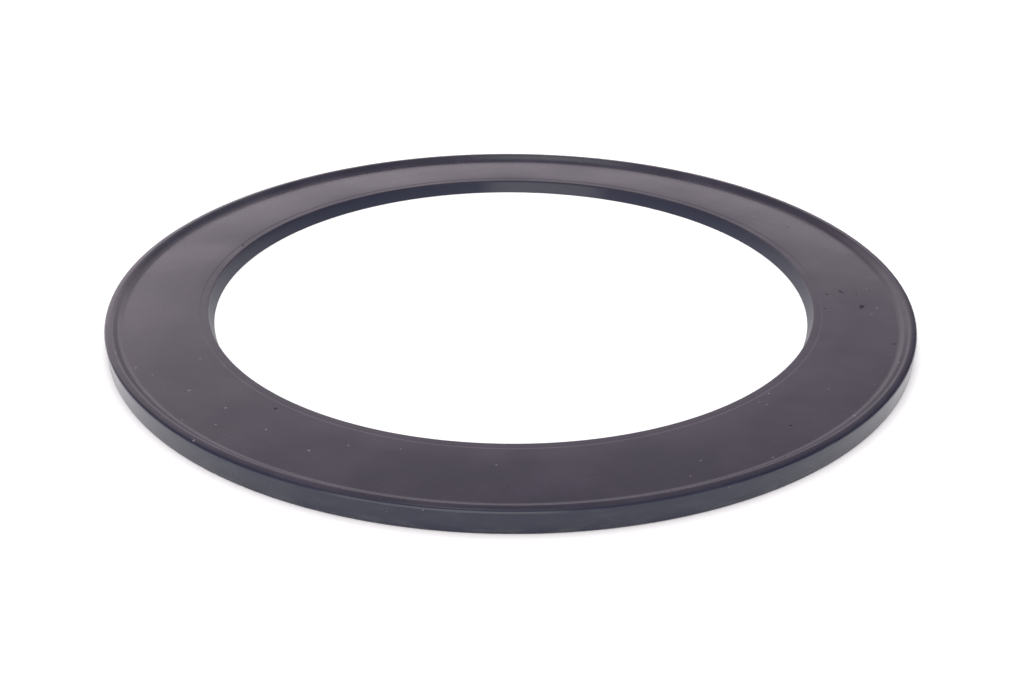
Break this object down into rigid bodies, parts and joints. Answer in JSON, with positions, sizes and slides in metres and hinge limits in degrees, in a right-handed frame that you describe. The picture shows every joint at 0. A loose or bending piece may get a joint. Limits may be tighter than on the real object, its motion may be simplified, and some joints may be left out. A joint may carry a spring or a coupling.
{
  "type": "lid gasket",
  "caption": "Flat round rubber lid gasket: a wide sealing ring with a low raised lip round its rim and a softly bevelled bore edge.",
  "frame": {"origin": "centre of the ring on its underside", "axes": "+Z along the ring's axis, out of the side that carries the raised lip; +X and +Y are any two directions across the ring"},
  "size_m": [0.145, 0.145, 0.0038],
  "materials": {
    "rubber": "moulded dark grey rubber, satin, with fine dust specks and small moulding pits"
  },
  "bodies": {
    "root": {"gasket_ring": "rubber"}
  },
  "joints": []
}
